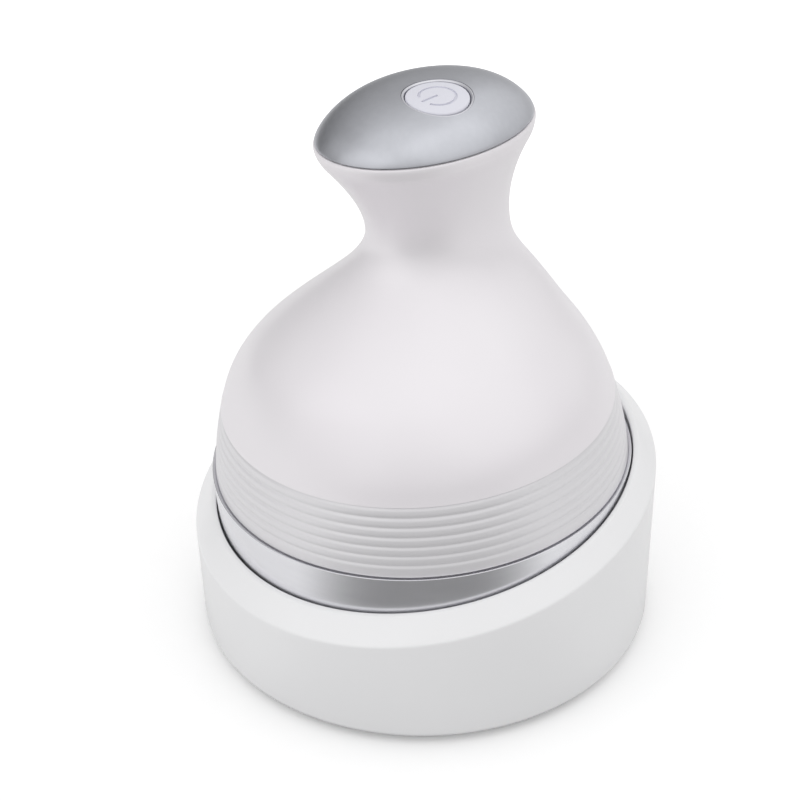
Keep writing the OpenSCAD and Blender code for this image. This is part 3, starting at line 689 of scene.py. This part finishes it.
carve(cup, as_mesh(inlet_slot(), Matrix.Translation((0, STAND_R + 2, INLET_Z))))


# --- floor, light and camera -------------------------------------------------

FIT_AZIMUTH = math.radians(52.0)
FIT_ELEVATION = math.radians(31.76)
FIT_ROLL = math.radians(-1.58)
FIT_DISTANCE = 339.3
FIT_TARGET = Vector((-4.83, 0.0, 54.44))
LENS = 67.5
SENSOR = 36.0
FLOOR_HALF = 3
LAMP_AWAY = 0.8
LAMP_SIZE = 0.85
LAMP_AIM = Vector((0, 0, 0.06))
FLOOR_GLOW = 0.18
DIM_START = 0.55
DIM_END = 0.98
FADE_NEAR = 0.12
FADE_FAR = 0.6
FLOOR_SEEN = 0.9
FLOOR_TONE = 0.6
# Painted shade: the floor's tone in reflections in front of the object, darker than at its sides.
FLOOR_PAINTED_DIM_FRONT = 0.3
FLOOR_SIDES = 0.9
ROOM = 0.85
ROUND_SHINE = 0.6
DIM_SIDE = math.radians(-125)
DIM_SHINE = 0.2
TOP_SHINE = 0.3


def aim_camera():
    turn = Matrix.Rotation(FIT_AZIMUTH, 3, "Z")
    ahead = Vector((0, math.cos(FIT_ELEVATION), -math.sin(FIT_ELEVATION)))
    up = Vector((0, math.sin(FIT_ELEVATION), math.cos(FIT_ELEVATION)))
    right = Vector((1, 0, 0))
    rolled_right = right * math.cos(FIT_ROLL) + up * math.sin(FIT_ROLL)
    rolled_up = up * math.cos(FIT_ROLL) - right * math.sin(FIT_ROLL)
    axes = [turn @ v for v in (rolled_right, rolled_up, -ahead)]
    place = turn @ (FIT_TARGET - ahead * FIT_DISTANCE)
    data = bpy.data.cameras.new("camera")
    data.lens = LENS
    data.sensor_width = SENSOR
    data.clip_start = 0.01
    camera = bpy.data.objects.new("camera", data)
    bpy.context.scene.collection.objects.link(camera)
    matrix = Matrix([axes[0], axes[1], axes[2]]).transposed().to_4x4()
    matrix.translation = place * MM
    camera.matrix_world = matrix
    bpy.context.scene.camera = camera


aim_camera()


def ranged(tree, value, low, high, start=0.0, end=1.0, smoothed=True):
    """Maps a value from start..end to low..high."""
    node = tree.nodes.new("ShaderNodeMapRange")
    node.interpolation_type = "SMOOTHSTEP" if smoothed else "LINEAR"
    node.inputs["From Min"].default_value = start
    node.inputs["From Max"].default_value = end
    node.inputs["To Min"].default_value = low
    node.inputs["To Max"].default_value = high
    tree.links.new(value, node.inputs["Value"])
    return node.outputs["Result"]


def vector_math(tree, operation, vector, output):
    node = tree.nodes.new("ShaderNodeVectorMath")
    node.operation = operation
    tree.links.new(vector, node.inputs[0])
    return node, node.outputs[output]


def floor_tone_and_painted_dim(made, path):
    """The floor's tone to the camera and for bounced light. In reflections its front is painted dim, a
    painted shade that only glossy rays see.
    """
    tree = made.tree
    _, heading = vector_math(tree, "NORMALIZE", made.place, "Vector")
    node, ahead = vector_math(tree, "DOT_PRODUCT", heading, "Value")
    node.inputs[1].default_value = (math.sin(FIT_AZIMUTH), -math.cos(FIT_AZIMUTH), 0)
    tone = tree.nodes.new("ShaderNodeMix")
    tone.data_type = "RGBA"
    seen = ranged(tree, path.outputs["Is Camera Ray"], FLOOR_TONE, FLOOR_SEEN, smoothed=False)
    made.link(seen, tone.inputs[6])
    # Painted shade in reflections: to glossy rays the floor towards the camera is darker than at the
    # sides.
    made.link(ranged(tree, ahead, FLOOR_SIDES, FLOOR_PAINTED_DIM_FRONT, DIM_START, DIM_END), tone.inputs[7])
    made.link(path.outputs["Is Glossy Ray"], tone.inputs["Factor"])
    made.link(tone.outputs[2], made.shader.inputs["Base Color"])


def floor_glow(made, path):
    """A glow that only the camera sees. It grows with distance, so the floor fades to white."""
    tree = made.tree
    _, away = vector_math(tree, "LENGTH", made.place, "Value")
    share = tree.nodes.new("ShaderNodeMath")
    share.operation = "MULTIPLY"
    made.link(path.outputs["Is Camera Ray"], share.inputs[0])
    made.link(ranged(tree, away, FLOOR_GLOW, 1.0, FADE_NEAR, FADE_FAR), share.inputs[1])
    glow = tree.nodes.new("ShaderNodeEmission")
    glow.inputs["Color"].default_value = (1, 1, 1, 1)
    made.link(share.outputs[0], glow.inputs["Strength"])
    both = tree.nodes.new("ShaderNodeAddShader")
    made.link(made.shader.outputs[0], both.inputs[0])
    made.link(glow.outputs[0], both.inputs[1])
    made.link(both.outputs[0], tree.nodes["Material Output"].inputs["Surface"])


def floor_piece():
    bm = bmesh.new()
    bmesh.ops.create_grid(bm, x_segments=1, y_segments=1, size=FLOOR_HALF)
    mesh = bpy.data.meshes.new("floor")
    bm.to_mesh(mesh)
    bm.free()
    made = Finish("floor_white")
    made.set(Roughness=0.7, Specular_IOR_Level=0.1)
    path = made.tree.nodes.new("ShaderNodeLightPath")
    floor_tone_and_painted_dim(made, path)
    floor_glow(made, path)
    mesh.materials.append(made.material)
    floor = bpy.data.objects.new("floor", mesh)
    bpy.context.scene.collection.objects.link(floor)


floor_piece()


def world_light():
    """A white studio. One side is dim in reflections, and the camera sees plain white."""
    world = bpy.data.worlds.new("studio")
    bpy.context.scene.world = world
    world.use_nodes = True
    tree = world.node_tree
    add, link = tree.nodes.new, tree.links.new
    ray = add("ShaderNodeTexCoord").outputs["Generated"]
    path = add("ShaderNodeLightPath")

    def lobe(direction, at_none, at_full):
        """A brightness that goes from one value to another towards a direction."""
        dot = add("ShaderNodeVectorMath")
        dot.operation = "DOT_PRODUCT"
        dot.inputs[1].default_value = direction
        link(ray, dot.inputs[0])
        return ranged(tree, dot.outputs["Value"], at_none, at_full)

    def total(a, b):
        node = add("ShaderNodeMath")
        link(a, node.inputs[0])
        link(b, node.inputs[1])
        return node.outputs[0]

    def chosen(fac, a, b):
        node = add("ShaderNodeMix")
        link(fac, node.inputs["Factor"])
        for socket, value in ((node.inputs[2], a), (node.inputs[3], b)):
            if isinstance(value, float):
                socket.default_value = value
            else:
                link(value, socket)
        return node.outputs[0]

    turn = FIT_AZIMUTH + DIM_SIDE
    dim_side = (math.sin(turn), -math.cos(turn), 0)
    shine = total(lobe(dim_side, ROUND_SHINE, DIM_SHINE), lobe((0, 0, 1), 0.0, TOP_SHINE))
    mirrored = total(path.outputs["Is Glossy Ray"], path.outputs["Is Transmission Ray"])
    strength = chosen(path.outputs["Is Camera Ray"], chosen(mirrored, ROOM, shine), 1.0)
    link(strength, tree.nodes["Background"].inputs["Strength"])
    tree.nodes["Background"].inputs["Color"].default_value = (1, 1, 1, 1)


world_light()


def softbox(name, azimuth, elevation, power):
    """A square lamp that looks at the object, its azimuth counted from the camera's."""
    data = bpy.data.lights.new(name, "AREA")
    data.shape = "RECTANGLE"
    data.size = LAMP_SIZE
    data.size_y = LAMP_SIZE
    data.energy = power
    lamp = bpy.data.objects.new(name, data)
    bpy.context.scene.collection.objects.link(lamp)
    a = FIT_AZIMUTH + math.radians(azimuth)
    e = math.radians(elevation)
    away = Vector((math.sin(a) * math.cos(e), -math.cos(a) * math.cos(e), math.sin(e)))
    lamp.location = LAMP_AIM + away * LAMP_AWAY
    lamp.rotation_euler = away.to_track_quat("Z", "Y").to_euler()


softbox("left_side", -90, 15, 0.42)
softbox("left_front", -50, 28, 0.58)
softbox("left_top", -25, 65, 0.28)
softbox("right_front", 55, 50, 0.54)
softbox("right_back", 125, 40, 0.30)

bpy.context.scene.view_settings.view_transform = "Standard"
